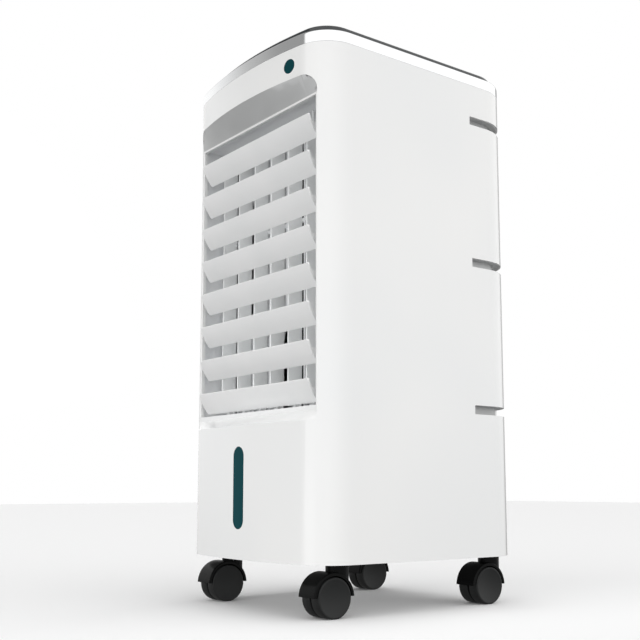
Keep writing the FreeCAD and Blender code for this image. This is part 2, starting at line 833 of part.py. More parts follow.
def outlet_grille():
    y0, y1 = frame_back_y, frame_back_y + grille_t
    out_x = frame_half + frame_wall
    plate = box(-out_x, out_x, y0, y1, sill_z - frame_wall, lip_z + frame_wall)
    cuts = []
    count = int(2 * outlet_half / grille_pitch)
    start = -count * grille_pitch / 2
    row_pitch = (outlet_h - grille_rail) / grille_rows
    for row in range(grille_rows):
        z0 = sill_z + grille_rail + row * row_pitch
        z1 = z0 + row_pitch - grille_rail
        for i in range(count):
            x0 = start + i * grille_pitch + grille_bar / 2
            cuts.append(box(x0, x0 + grille_pitch - grille_bar, y0, y1, z0, z1))
    return plate.cut(cuts)


# ---- fan --------------------------------------------------------------------------------
def fan_rotor():
    low, high = scroll_low + scroll_t + rotor_clear, scroll_high - scroll_t - rotor_clear
    discs = [rod_z(rotor_r, 0, rotor_y, low, low + rotor_disc_t),
             rod_z(rotor_r, 0, rotor_y, high - rotor_disc_t, high)]
    mid = (low + high) / 2
    inner = rotor_r - rotor_blade_w
    ring = rod_z(rotor_r, 0, rotor_y, mid - rotor_ring_t / 2, mid + rotor_ring_t / 2)
    discs.append(ring.cut(rod_z(inner, 0, rotor_y, low, high)))
    shafts = [rod_z(shaft_r, 0, rotor_y, deck_top + motor_shell, low + rotor_disc_t / 2),
              rod_z(shaft_r, 0, rotor_y, high - rotor_disc_t / 2, scroll_high + bearing_h - body_gap)]
    blades = []
    blade_low, blade_high = low + rotor_disc_t / 2, high - rotor_disc_t / 2
    bow = blade_lag / 2 + blade_bow
    for i in range(rotor_blades):
        turn = 2 * math.pi * i / rotor_blades
        points = []
        for r, lag in ((rotor_r - blade_in, 0.0), ((rotor_r + inner) / 2, bow), (inner, blade_lag)):
            points.append((r * math.cos(turn - lag), rotor_y + r * math.sin(turn - lag), blade_low))
        centre = Part.Wire([arc(*points)])
        strip = centre.extrude(V(0, 0, blade_high - blade_low))
        blades.append(strip.makeOffsetShape(rotor_blade_t, 0.01, fill=True))
    return fuse(discs + shafts + [Part.makeSolid(blade.Shells[0]) for blade in blades])


def scroll_sheet(points, z0, z1):
    """Upright sheet between two floor plates, along a line or an arc."""
    if len(points) == 2:
        path = line(*[(x, y, z0) for x, y in points])
    else:
        path = arc(*[(x, y, z0) for x, y in points])
    strip = Part.Wire([path]).extrude(V(0, 0, z1 - z0))
    solid = strip.makeOffsetShape(scroll_t, 0.01, fill=True)
    return Part.makeSolid(solid.Shells[0])


def fan_scroll():
    r = rotor_r + scroll_gap
    front = frame_back_y + grille_t
    plates = []
    outline = Part.makePolygon([V(x, y, 0) for x, y in (
        (-outlet_half, front), (outlet_half, front), (rotor_r, rotor_y), (-rotor_r, rotor_y),
        (-outlet_half, front))])
    wedge = Part.Face(outline)
    for z in (scroll_low, scroll_high - scroll_t):
        flat = wedge.extrude(V(0, 0, scroll_t))
        flat.translate(V(0, 0, z))
        plates.append(flat)
        plates.append(rod_z(r, 0, rotor_y, z, z + scroll_t))
    low, high = scroll_low + scroll_t / 2, scroll_high - scroll_t / 2
    guide_r = r - scroll_sheet_in
    guide = []
    for turn in scroll_guide:
        a = math.radians(turn)
        guide.append((guide_r * math.cos(a), rotor_y + guide_r * math.sin(a)))
    sheets = [
        scroll_sheet(guide, low, high),
        scroll_sheet([(-outlet_half + scroll_sheet_in, front), guide[0]], low, high),
        scroll_sheet([(outlet_half - 2 * scroll_sheet_in, front),
                      (rotor_r + cutoff_gap, rotor_y - cutoff_before)], low, high),
    ]
    holes = [rod_z(scroll_hole_r, 0, rotor_y, deck_top, low + scroll_t),
             rod_z(shaft_r + body_gap, 0, rotor_y, high - scroll_t, cover_top)]
    inside = box(-half_w, half_w, front, rear_y, 0, cover_top)
    return fuse(plates + sheets).common(inside).cut(holes)


def fan_motor():
    can = rod_z(fan_motor_r, 0, rotor_y, deck_top, scroll_low)
    bore = rod_z(shaft_r + running, 0, rotor_y, deck_top + motor_shell - body_gap, scroll_high)
    return can.cut(bore)


def fan_bearing():
    ring = rod_z(bearing_r, 0, rotor_y, scroll_high, scroll_high + bearing_h)
    return ring.cut(rod_z(shaft_r + running, 0, rotor_y, scroll_low, cover_top))


# ---- water circuit ----------------------------------------------------------------------
def water_tank():
    face_low, face_high = tank_open_low + tank_face_gap, tank_open_high - tank_face_gap
    face_y = rear_y - rear_face_in
    bin_back = rear_y - wall - body_gap
    tub = rounded_box(-tank_half, tank_half, tank_front_y, bin_back, tank_low, tank_high,
                      tank_corner_r, (0, 0, 1))
    inner = rounded_box(-tank_half + tank_wall, tank_half - tank_wall, tank_front_y + tank_wall,
                        bin_back - tank_wall, tank_low + tank_wall, tank_high + cut_past,
                        tank_corner_r - tank_wall, (0, 0, 1))
    side = rear_half - tank_face_gap
    face = rounded_box(-side, side, bin_back - tank_wall, rear_y + cut_past, face_low, face_high,
                       rear_open_r - tank_face_gap, (0, 1, 0))
    face = face.common(plan_prism(rear_face_in, body_bottom, body_top))
    top = face_high - handle_below_top
    back = face_y - handle_deep
    pocket = rounded_box(-handle_w / 2, handle_w / 2, back, rear_y + cut_past, top - handle_h, top,
                         rear_open_r, (0, 1, 0))
    cheek = box(-handle_w / 2 - tank_wall, handle_w / 2 + tank_wall, back - tank_wall, bin_back,
                top - handle_h - tank_wall, min(top + tank_wall, tank_high))
    return fuse([tub.cut(inner), face, cheek]).cut(pocket)


def water_pump():
    z0 = tank_low + tank_wall
    x0 = hose_x - pump_side
    body = rounded_box(x0, x0 + pump_w, hose_y - pump_d / 2, hose_y + pump_d / 2,
                       z0, z0 + pump_h, pump_corner_r, (0, 0, 1))
    spigot = rod_z(hose_r - spigot_step, hose_x, hose_y, z0 + pump_h / 2, deck_z - spigot_gap)
    return fuse([body, spigot])


trough_front_y = pad_front_y - trough_over
trough_back_y = pad_back_y + trough_over


def riser_hose():
    """Upright hose from the pump's coupling, over the front edge of the trough."""
    top = pad_top + trough_h + hose_over_trough
    bend = hose_before_pad
    path = Part.Wire([
        line((hose_x, hose_y, deck_z), (hose_x, hose_y, top - bend)),
        arc((hose_x, hose_y, top - bend),
            (hose_x, hose_y + bend * (1 - math.cos(math.pi / 4)), top - bend * (1 - math.sin(math.pi / 4))),
            (hose_x, hose_y + bend, top)),
        line((hose_x, hose_y + bend, top), (hose_x, pad_front_y + hose_over_pad, top)),
    ])
    section = Part.Wire([Part.Circle(V(hose_x, hose_y, deck_z), V(0, 0, 1), hose_r).toShape()])
    return path.makePipeShell([section], True, True)


def water_trough():
    half = pad_half + trough_wall
    tub = box(-half, half, trough_front_y, trough_back_y, pad_top, pad_top + trough_h)
    hollow = box(-half + trough_wall, half - trough_wall, trough_front_y + trough_wall,
                 trough_back_y - trough_wall, pad_top + trough_wall, pad_top + trough_h + cut_past)
    drips = []
    count = int(2 * half / drip_pitch)
    for i in range(count):
        x = (i - (count - 1) / 2) * drip_pitch
        drips.append(rod_z(drip_r, x, (pad_front_y + pad_back_y) / 2, deck_z, pad_top + trough_h))
    return tub.cut([hollow] + drips)


def cooling_pad():
    return box(-pad_half, pad_half, pad_front_y, pad_back_y, deck_top + pad_frame_t, pad_top)


def pad_frame():
    out = pad_half + pad_frame_t
    block = box(-out, out, pad_front_y, pad_back_y, deck_top, pad_top)
    return block.cut(box(-pad_half, pad_half, pad_front_y - cut_past, pad_back_y + cut_past,
                         deck_top + pad_frame_t, pad_top + cut_past))


def filter_frame():
    side = rear_half - tank_face_gap
    low, high = filter_low + tank_face_gap, filter_high - tank_face_gap
    y0 = rear_y - rear_face_in - filter_depth
    frame = rounded_box(-side, side, y0, rear_y + cut_past, low, high, rear_open_r - tank_face_gap, (0, 1, 0))
    frame = frame.common(plan_prism(rear_face_in, body_bottom, body_top))
    inner_side = side - filter_border
    z0, z1 = low + filter_border, high - filter_border
    cuts = [box(-inner_side, inner_side, pad_back_y, rear_y - rear_face_in - filter_face_t, z0, z1)]
    count = int((z1 - z0) / filter_pitch)
    gap = (z1 - z0 - (count - 1) * filter_bar) / count
    for i in range(count):
        z = z0 + i * (gap + filter_bar)
        for x0, x1 in ((-inner_side, -filter_mullion / 2), (filter_mullion / 2, inner_side)):
            cuts.append(box(x0, x1, pad_back_y, rear_y + cut_past, z, z + gap))
    return frame.cut(cuts)


def filter_mesh():
    side = rear_half - tank_face_gap - filter_border
    back = rear_y - rear_face_in - filter_face_t
    return box(-side, side, back - mesh_t, back, filter_low + tank_face_gap + filter_border,
               filter_high - tank_face_gap - filter_border)


def cord_gland():
    plug = rod_y(gland_r, gland_x, gland_z, rear_y - gland_len, rear_y)
    return plug.cut(rod_y(gland_bore_r, gland_x, gland_z, rear_split_y, rear_y + cut_past))


# ---- casters ----------------------------------------------------------------------------
front_stem_y = front_y + front_stem_in
rear_stem_y = rear_y - rear_stem_in
socket_top = body_bottom + stem_h + neck_gap


def caster_places():
    return [(-caster_x, front_stem_y), (caster_x, front_stem_y),
            (-caster_x, rear_stem_y), (caster_x, rear_stem_y)]


def caster_sockets():
    sleeves = []
    for x, y in caster_places():
        sleeve = rod_z(socket_r, x, y, body_bottom, socket_top)
        bore = rod_z(stem_r + running, x, y, body_bottom - cut_past, body_bottom + stem_h)
        sleeves.append(sleeve.cut(bore))
    return sleeves


def caster_hood(x, y):
    """Hood, web and stem of one caster; its wheels trail towards the front."""
    wheel_y = y - trail
    inner, outer = wheel_r + hood_gap, wheel_r + hood_gap + hood_t
    half = caster_half_w - hood_side_in
    drum = rod_x(outer, wheel_y, wheel_r, x - half, x + half)
    drum = drum.makeFillet(hood_edge_r, drum.Edges[0:1] + drum.Edges[2:3])
    neck_top = body_bottom - neck_gap
    neck = rod_z(neck_r, x, y, wheel_r + hood_lift, neck_top)
    body = fuse([drum, neck])
    reach = trail + outer
    body = body.common(box(x - reach, x + reach, y - reach, y + reach, wheel_r + hood_lift, neck_top))
    for side in (-1, 1):
        x0, x1 = sorted((x + side * caster_web, x + side * (caster_half_w + cut_past)))
        body = body.cut(rod_x(inner, wheel_y, wheel_r, x0, x1))
    hub = rod_x(hub_r, wheel_y, wheel_r, x - caster_web, x + caster_web)
    stem = rod_z(stem_r, x, y, neck_top - stem_root, body_bottom + stem_h - body_gap)
    body = fuse([body, hub, stem])
    return body.cut(rod_x(axle_r + running, wheel_y, wheel_r, x - caster_half_w, x + caster_half_w))


def caster_wheels(x, y):
    wheel_y = y - trail
    parts = []
    for side in (-1, 1):
        x0, x1 = sorted((x + side * (caster_web + wheel_gap), x + side * caster_half_w))
        wheel = rod_x(wheel_r, wheel_y, wheel_r, x0, x1)
        rims = [edge for edge in wheel.Edges if edge.BoundBox.XLength < 0.01]
        wheel = wheel.makeFillet(wheel_edge_r, rims)
        parts.append(wheel)
    axle_half = caster_half_w - axle_end_in
    axle = rod_x(axle_r, wheel_y, wheel_r, x - axle_half, x + axle_half)
    parts = [wheel.cut(axle) for wheel in parts]
    return parts + [axle]


# ---- write every node -------------------------------------------------------------------
os.makedirs("parts", exist_ok=True)
save("main_shell", main_shell())
save("rear_panel", rear_panel())
save("base_tray", base_tray())
save("deck", deck())
save("trim_band", trim_band())
save("top_cover", top_cover())
save("control_board", control_board())
save("ir_window", front_skin(ir_hole()))
save("level_window", front_skin(stadium(level_w, level_h, level_mid_z)))
save("groove_liners", groove_liners())
save("louvre_frame", louvre_frame())
save("outlet_grille", outlet_grille())
save("louvre_link", louvre_link())
save("vane_link", vane_link())
save("swing_crank", swing_crank())
save("swing_motor", swing_motor())
save("fan_rotor", fan_rotor())
save("fan_scroll", fan_scroll())
save("fan_motor", fan_motor())
save("fan_bearing", fan_bearing())
save("cooling_pad", cooling_pad())
save("pad_frame", pad_frame())
save("water_trough", water_trough())
save("riser_hose", riser_hose())
save("water_tank", water_tank())
save("water_pump", water_pump())
save("filter_frame", filter_frame())
save("filter_mesh", filter_mesh())
save("cord_gland", cord_gland())
save("screws", screws())
save("caster_sockets", caster_sockets())
for number in range(1, louvre_count + 1):
    save("louvre_%d" % number, louvre(number))
for number in range(1, vane_count + 1):
    save("vane_%d" % number, vane(number))
for number, x in enumerate(button_places(), 1):
    save("button_%d" % number, button(x))
for corner, (x, y) in zip(("front_left", "front_right", "rear_left", "rear_right"), caster_places()):
    save("caster_hood_" + corner, caster_hood(x, y))
    save("caster_wheels_" + corner, caster_wheels(x, y))
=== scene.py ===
"""Looks of a white tower evaporative air cooler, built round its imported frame.

Lengths are metres in the frame's own axes: +Z up, the louvred front faces -Y.
"""
import json
import math

import bpy
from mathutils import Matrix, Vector

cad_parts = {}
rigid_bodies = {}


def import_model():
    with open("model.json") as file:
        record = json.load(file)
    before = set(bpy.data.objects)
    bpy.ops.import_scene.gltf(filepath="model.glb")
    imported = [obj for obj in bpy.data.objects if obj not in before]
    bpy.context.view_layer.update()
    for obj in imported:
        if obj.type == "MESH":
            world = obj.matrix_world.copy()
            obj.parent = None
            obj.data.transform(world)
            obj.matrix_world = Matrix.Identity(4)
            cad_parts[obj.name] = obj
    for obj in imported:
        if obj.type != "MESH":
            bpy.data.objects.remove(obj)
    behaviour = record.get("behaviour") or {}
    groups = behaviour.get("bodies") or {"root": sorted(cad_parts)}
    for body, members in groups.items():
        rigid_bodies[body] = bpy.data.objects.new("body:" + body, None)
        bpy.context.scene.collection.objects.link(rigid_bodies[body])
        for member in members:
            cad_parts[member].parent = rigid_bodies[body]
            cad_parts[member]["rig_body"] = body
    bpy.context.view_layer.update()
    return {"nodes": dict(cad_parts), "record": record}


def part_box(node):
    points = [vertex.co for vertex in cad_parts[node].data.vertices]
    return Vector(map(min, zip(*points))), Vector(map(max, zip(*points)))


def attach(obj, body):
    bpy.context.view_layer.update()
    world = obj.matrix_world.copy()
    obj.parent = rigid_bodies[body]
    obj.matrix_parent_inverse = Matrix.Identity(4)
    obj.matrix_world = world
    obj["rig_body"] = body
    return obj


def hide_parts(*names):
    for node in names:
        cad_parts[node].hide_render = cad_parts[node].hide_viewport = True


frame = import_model()
nodes = frame["nodes"]
MM = 0.001
BUMP = "ShaderNodeBump"
MAPPING = "ShaderNodeMapping"
MATHS = "ShaderNodeMath"
NOISE = "ShaderNodeTexNoise"
RAMP = "ShaderNodeValToRGB"
RANGE = "ShaderNodeMapRange"


# ---- colour and node helpers ------------------------------------------------------------
def linear(colour):
    """sRGB hex to the linear colour that a shader takes."""
    parts = [int(colour[i:i + 2], 16) / 255 for i in (1, 3, 5)]
    parts = [c / 12.92 if c <= 0.04045 else ((c + 0.055) / 1.055) ** 2.4 for c in parts]
    return (*parts, 1.0)


def add_node(tree, kind, settings=None, links=None, stops=()):
    """One shader node with its settings, its inputs joined to other nodes or sockets, and
    for a colour ramp its (place, hex colour) stops."""
    node = tree.nodes.new(kind)
    for name, value in (settings or {}).items():
        if name in node.inputs:
            node.inputs[name].default_value = value
        else:
            setattr(node, name, value)
    for name, source in (links or {}).items():
        tree.links.new(getattr(source, "outputs", [source])[0], node.inputs[name])
    for number, (place, colour) in enumerate(stops):
        elements = node.color_ramp.elements
        element = elements[number] if number < 2 else elements.new(place)
        element.position = place
        element.color = linear(colour)
    return node


def new_material(name, **shader):
    """A material with one shader, its constant values on the shader's own sockets. Returns
    it with its tree, the shader and the coordinates that its patterns start from."""
    material = bpy.data.materials.new(name)
    material.use_nodes = True
    tree = material.node_tree
    skin = tree.nodes["Principled BSDF"]
    for socket, value in shader.items():
        skin.inputs[socket.replace("_", " ")].default_value = value
    place = add_node(tree, "ShaderNodeTexCoord").outputs["Object"]
    return material, tree, skin, place


def feed(tree, skin, **sources):
    """Joins patterns to the shader's sockets."""
    for socket, source in sources.items():
        tree.links.new(source.outputs[0], skin.inputs[socket.replace("_", " ")])


def across(size_mm):
    """Noise scale that makes blotches of about this size."""
    return 1 / (size_mm * MM)


# ---- materials --------------------------------------------------------------------------
def gloss_abs():
    """ABS, injection moulded in a polished tool: bright white, with clear reflections that
    the faint ripple and haze of the moulding soften."""
    material, tree, skin, place = new_material(
        "abs_white_polished_moulding", IOR=1.53, Coat_Weight=0.8, Coat_Roughness=0.04)
    tone = add_node(tree, NOISE, {"Scale": across(160), "Detail": 1.0}, {"Vector": place})
    shade = add_node(tree, RAMP, links={"Fac": tone}, stops=[(0.3, "#F1F2F2"), (0.7, "#F6F6F5")])
    haze = add_node(tree, NOISE, {"Scale": across(30), "Detail": 3.0}, {"Vector": place})
    gloss = add_node(tree, RANGE, {"To Min": 0.20, "To Max": 0.28}, {"Value": haze})
    ripple = add_node(tree, NOISE, {"Scale": across(6), "Detail": 1.0}, {"Vector": place})
    relief = add_node(tree, BUMP, {"Strength": 1.0, "Distance": 0.012 * MM}, {"Height": ripple})
    feed(tree, skin, Base_Color=shade, Roughness=gloss, Normal=relief)
    return material


def grained_plastic(name, light, dark, low, high, grain_mm, depth_mm=0.03, **shader):
    """Plastic or rubber from a spark-eroded tool: one colour that clouds a little from place
    to place, and a fine grain that moves the roughness between low and high and breaks up
    the highlights."""
    material, tree, skin, place = new_material(name, **shader)
    tone = add_node(tree, NOISE, {"Scale": across(60), "Detail": 2.0}, {"Vector": place})
    shade = add_node(tree, RAMP, links={"Fac": tone}, stops=[(0.3, dark), (0.7, light)])
    grain = add_node(tree, NOISE, {"Scale": across(grain_mm), "Detail": 3.0, "Roughness": 0.6},
                     {"Vector": place})
    gloss = add_node(tree, RANGE, {"To Min": low, "To Max": high}, {"Value": grain})
    relief = add_node(tree, BUMP, {"Strength": 1.0, "Distance": depth_mm * MM},
                      {"Height": grain})
    feed(tree, skin, Base_Color=shade, Roughness=gloss, Normal=relief)
    return material


def plated_abs():
    """ABS with a bright chromium plate: mirror-like, with the slight haze of a plastic core."""
    material, tree, skin, place = new_material("chromium_plated_abs", Metallic=1.0)
    tone = add_node(tree, NOISE, {"Scale": across(80), "Detail": 1.0}, {"Vector": place})
    shade = add_node(tree, RAMP, links={"Fac": tone}, stops=[(0.3, "#EEEFF0"), (0.7, "#F4F5F5")])
    haze = add_node(tree, NOISE, {"Scale": across(12), "Detail": 3.0}, {"Vector": place})
    gloss = add_node(tree, RANGE, {"To Min": 0.08, "To Max": 0.14}, {"Value": haze})
    feed(tree, skin, Base_Color=shade, Roughness=gloss)
    return material


def cast_acrylic(name, light, dark, coat, **shader):
    """Tinted acrylic or polycarbonate, polished: a dark body, under a clear gloss where it
    has a coat."""
    material, tree, skin, place = new_material(
        name, Coat_Weight=coat, Coat_Roughness=0.03, **shader)
    tone = add_node(tree, NOISE, {"Scale": across(40), "Detail": 2.0}, {"Vector": place})
    shade = add_node(tree, RAMP, links={"Fac": tone}, stops=[(0.3, dark), (0.7, light)])
    haze = add_node(tree, NOISE, {"Scale": across(14), "Detail": 3.0}, {"Vector": place})
    gloss = add_node(tree, RANGE, {"To Min": 0.06, "To Max": 0.12}, {"Value": haze})
    feed(tree, skin, Base_Color=shade, Roughness=gloss)
    return material


def zinc_steel(name):
    """Bright steel, mostly zinc plated: cool grey with drawn lines and a mottled bloom."""
    material, tree, skin, place = new_material(name, Metallic=1.0)
    bloom = add_node(tree, NOISE, {"Scale": across(9), "Detail": 4.0, "Roughness": 0.6},
                     {"Vector": place})
    shade = add_node(tree, RAMP, links={"Fac": bloom}, stops=[(0.3, "#9B9EA1"), (0.7, "#B9BCBE")])
    drawn = add_node(tree, MAPPING, {"Scale": (across(1.1), across(1.1), across(25))},
                     {"Vector": place})
    lines = add_node(tree, NOISE, {"Scale": 1.0, "Detail": 2.0}, {"Vector": drawn})
    gloss = add_node(tree, RANGE, {"To Min": 0.26, "To Max": 0.44}, {"Value": lines})
    relief = add_node(tree, BUMP, {"Strength": 1.0, "Distance": 0.02 * MM}, {"Height": lines})
    feed(tree, skin, Base_Color=shade, Roughness=gloss, Normal=relief)
    return material


def solder_mask():
    """Glass-epoxy board under green solder mask, with copper tracks that show through."""
    material, tree, skin, place = new_material(
        "circuit_board_solder_mask", IOR=1.5, Coat_Weight=0.3)
    tracks = add_node(tree, "ShaderNodeTexBrick", {
        "Scale": across(3.3), "Mortar Size": 0.06, "Color1": linear("#1E5A36"),
        "Color2": linear("#236440"), "Mortar": linear("#3E8455"),
    }, {"Vector": place})
    haze = add_node(tree, NOISE, {"Scale": across(6)}, {"Vector": place})
    gloss = add_node(tree, RANGE, {"To Min": 0.3, "To Max": 0.42}, {"Value": haze})
    feed(tree, skin, Base_Color=tracks, Roughness=gloss)
    return material


def kraft_paper():
    """Resin-stiffened kraft paper: warm brown, fibrous, darker where it stays wet."""
    material, tree, skin, place = new_material(
        "kraft_paper_resin_stiffened", IOR=1.4, Sheen_Weight=0.2, Sheen_Roughness=0.6)
    drawn = add_node(tree, MAPPING, {"Scale": (1.0, 1.0, 0.25)}, {"Vector": place})
    fibre = add_node(tree, NOISE, {"Scale": across(2), "Detail": 4.0, "Roughness": 0.65},
                     {"Vector": drawn})
    damp = add_node(tree, NOISE, {"Scale": across(55), "Detail": 3.0}, {"Vector": place})
    mixed = add_node(tree, MATHS, {"operation": "MULTIPLY"}, {0: fibre, 1: damp})
    shade = add_node(tree, RAMP, links={"Fac": mixed},
                     stops=[(0.08, "#6E4F2E"), (0.25, "#967048"), (0.45, "#B48C5E")])
    gloss = add_node(tree, RANGE, {"To Min": 0.7, "To Max": 0.92}, {"Value": damp})
    relief = add_node(tree, BUMP, {"Strength": 1.0, "Distance": 0.15 * MM}, {"Height": fibre})
    feed(tree, skin, Base_Color=shade, Roughness=gloss, Normal=relief)
    return material


def milky_plastic(name, light, dark, low, high, **shader):
    """Unpigmented plastic, moulded or extruded: cool milky white that lets some light in."""
    material, tree, skin, place = new_material(name, **shader)
    flow = add_node(tree, NOISE, {"Scale": across(45), "Detail": 3.0}, {"Vector": place})
    shade = add_node(tree, RAMP, links={"Fac": flow}, stops=[(0.3, dark), (0.7, light)])
    grain = add_node(tree, NOISE, {"Scale": across(1.4), "Detail": 2.0}, {"Vector": place})
    gloss = add_node(tree, RANGE, {"To Min": low, "To Max": high}, {"Value": grain})
    relief = add_node(tree, BUMP, {"Strength": 1.0, "Distance": 0.02 * MM}, {"Height": grain})
    feed(tree, skin, Base_Color=shade, Roughness=gloss, Normal=relief)
    return material


finish = {
    "white_abs": gloss_abs(),
    "inner_white": grained_plastic("polypropylene_white_satin", "#ECEDEE", "#E4E6E8",
                                   0.38, 0.55, 1.2, IOR=1.49),
    "louvre_white": grained_plastic("abs_louvre_fine_grain", "#F8F8F8", "#F3F4F4",
                                    0.26, 0.36, 1.0, 0.02, IOR=1.53),
    "vane_white": grained_plastic("abs_vane_fine_grain", "#F2F3F3", "#ECEEEE",
                                  0.30, 0.42, 1.0, IOR=1.53),
    "link_white": grained_plastic("acetal_link_moulded", "#E6E7E6", "#DCDDDC",
                                  0.32, 0.45, 1.4, IOR=1.48),
    "chromed_abs": plated_abs(),
    "dark_cover": cast_acrylic("acrylic_smoke_polished", "#2C3032", "#24282A", 0.5, IOR=1.49),
    "button_dark": grained_plastic("abs_button_charcoal", "#3A3E40", "#303436",
                                   0.34, 0.46, 0.9, IOR=1.53),
    "teal_lens": cast_acrylic("polycarbonate_teal_polished", "#12454B", "#0F4046", 0.0, IOR=1.58,
                              Specular_IOR_Level=0.03),
    # light grey: partly the liners' own colour, partly painted shade for the depth of the grip
    # grooves; the visor skin wears it as painted shade
    "groove_grey": grained_plastic("abs_grey_liner_and_painted_shade", "#C6C7C7", "#BCBDBD",
                                   0.36, 0.5, 1.1, IOR=1.53),
    "circuit_board": solder_mask(),
    "motor_steel": zinc_steel("steel_motor_can_zinc_plated"),
    "bearing_steel": zinc_steel("steel_bearing_turned"),
    "screw_steel": zinc_steel("steel_screw_zinc_plated"),
    "rotor_black": grained_plastic("nylon_rotor_black", "#17181A", "#0F1011",
                                   0.34, 0.5, 1.5, IOR=1.53),
    "pad_paper": kraft_paper(),
    "hose_vinyl": milky_plastic("pvc_hose_extruded", "#E6E9E9", "#D5D9DA", 0.28, 0.42,
                                IOR=1.53, Transmission_Weight=0.35),
    "tank_plastic": milky_plastic("polypropylene_natural_moulded", "#EEF0F0", "#E9ECED",
                                  0.26, 0.36, IOR=1.49, Subsurface_Weight=0.15,
                                  Subsurface_Scale=3 * MM),
    "pump_black": grained_plastic("nylon_pump_black", "#1D1F21", "#141517",
                                  0.4, 0.55, 1.5, IOR=1.53),
    "mesh_grey": grained_plastic("nylon_net_grey", "#5E6366", "#4A4F52",
                                 0.45, 0.6, 0.9, IOR=1.53),
    "gland_rubber": grained_plastic("rubber_gland_black", "#1E1F20", "#161718",
                                    0.6, 0.75, 0.8, 0.05, IOR=1.52),
    "caster_black": grained_plastic("nylon_caster_hood_gloss", "#0B0C0C", "#060606",
                                    0.20, 0.30, 1.5, 0.01, IOR=1.53, Specular_IOR_Level=0.1),
    "wheel_black": grained_plastic("polyurethane_wheel_black", "#272828", "#222323",
                                   0.40, 0.52, 1.5, 0.02, IOR=1.50, Specular_IOR_Level=0.25),
}
slot_of = {row["node"]: row["material_slot"] for row in frame["record"]["subparts"]}
for node, thing in nodes.items():
    thing.data.materials.clear()
    thing.data.materials.append(finish[slot_of[node]])


# ---- modelling helpers ------------------------------------------------------------------
def only(thing):
    """Leaves one object selected and active."""
    for other in bpy.data.objects:
        other.select_set(False)
    thing.select_set(True)
    bpy.context.view_layer.objects.active = thing


def settle(thing):
    """Puts the object's place, turn and size into its mesh."""
    only(thing)
    bpy.ops.object.transform_apply(location=True, rotation=True, scale=True)


def edit(thing, mode="FACE"):
    """Opens an object for editing, with nothing selected."""
    only(thing)
    bpy.ops.object.mode_set(mode="EDIT")
    bpy.ops.mesh.select_mode(type=mode)
    bpy.ops.mesh.select_all(action="DESELECT")


def pick(thing, chosen, kind="polygons"):
    """Selects the faces or vertices that the test chooses, while the object is being edited."""
    bpy.ops.object.mode_set(mode="OBJECT")
    for element in getattr(thing.data, kind):
        element.select = chosen(element)
    bpy.ops.object.mode_set(mode="EDIT")


def leave():
    """Ends the editing."""
    bpy.ops.object.mode_set(mode="OBJECT")


def apply_modifier(thing, kind, **settings):
    """Adds a modifier and makes its result the object's mesh."""
    only(thing)
    modifier = thing.modifiers.new(kind.lower(), kind)
    for name, value in settings.items():
        setattr(modifier, name, value)
    bpy.ops.object.modifier_apply(modifier=modifier.name)


def round_edges(thing, radius_mm, segments=2, degrees=32):
    """Rounds the edges where the faces turn by more than some degrees."""
    apply_modifier(thing, "BEVEL", width=radius_mm * MM, segments=segments,
                   limit_method="ANGLE", angle_limit=math.radians(degrees),
                   use_clamp_overlap=True, miter_outer="MITER_ARC")


def smooth(thing, degrees=38):
    """Smooth shading, with sharp edges where the faces turn by more than some degrees."""
    only(thing)
    bpy.ops.object.shade_smooth_by_angle(angle=math.radians(degrees))


def copy_of(thing):
    """Copy of an object, with its own mesh."""
    twin = bpy.data.objects.new(thing.name + "_copy", thing.data.copy())
    bpy.context.scene.collection.objects.link(twin)
    return twin


def joined(things):
    """Several objects made one."""
    for other in bpy.data.objects:
        other.select_set(False)
    for thing in things:
        thing.select_set(True)
    bpy.context.view_layer.objects.active = things[0]
    if len(things) > 1:
        bpy.ops.object.join()
    return things[0]


def finish_piece(thing, name, slot, body, stands_for=()):
    """Names a piece and gives it its finish and its body; the frame nodes it stands for are hidden.
    """
    settle(thing)
    thing.name = name
    thing.data.name = name
    thing.data.materials.clear()
    thing.data.materials.append(finish[slot])
    for face in thing.data.polygons:
        face.material_index = 0
    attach(thing, body)
    if stands_for:
        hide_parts(*stands_for)


def merged_copy(node, flatten=True):
    """Copy of a frame node's mesh with its loose triangles joined and, unless told
    otherwise, each flat area made one face."""
    weld, flat_degrees = 0.002 * MM, 0.5
    thing = bpy.data.objects.new("copy", nodes[node].data.copy())
    bpy.context.scene.collection.objects.link(thing)
    edit(thing)
    bpy.ops.mesh.select_all(action="SELECT")
    bpy.ops.mesh.remove_doubles(threshold=weld)
    if flatten:
        bpy.ops.mesh.dissolve_limited(angle_limit=math.radians(flat_degrees))
    leave()
    return thing


def box_of(thing):
    """Lowest and highest corner of an object's mesh."""
    places = [vertex.co for vertex in thing.data.vertices]
    low = Vector([min(place[axis] for place in places) for axis in range(3)])
    high = Vector([max(place[axis] for place in places) for axis in range(3)])
    return low, high


def islands(node):
    """Lowest and highest corner of each separate solid in a frame node."""
    edit(merged_copy(node))
    bpy.ops.mesh.select_all(action="SELECT")
    bpy.ops.mesh.separate(type="LOOSE")
    leave()
    pieces = list(bpy.context.selected_objects)
    boxes = [box_of(piece) for piece in pieces]
    for piece in pieces:
        bpy.data.objects.remove(piece)
    return boxes


def moulded(node, edge_mm):
    """A frame node with the small radii that a moulding tool leaves on its edges. Weighted
    normals keep the large faces flat beside the radii."""
    thing = merged_copy(node)
    round_edges(thing, edge_mm)
    smooth(thing)
    apply_modifier(thing, "WEIGHTED_NORMAL", keep_sharp=True, weight=60)
    finish_piece(thing, "moulded_" + node, slot_of[node], nodes[node]["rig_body"], (node,))


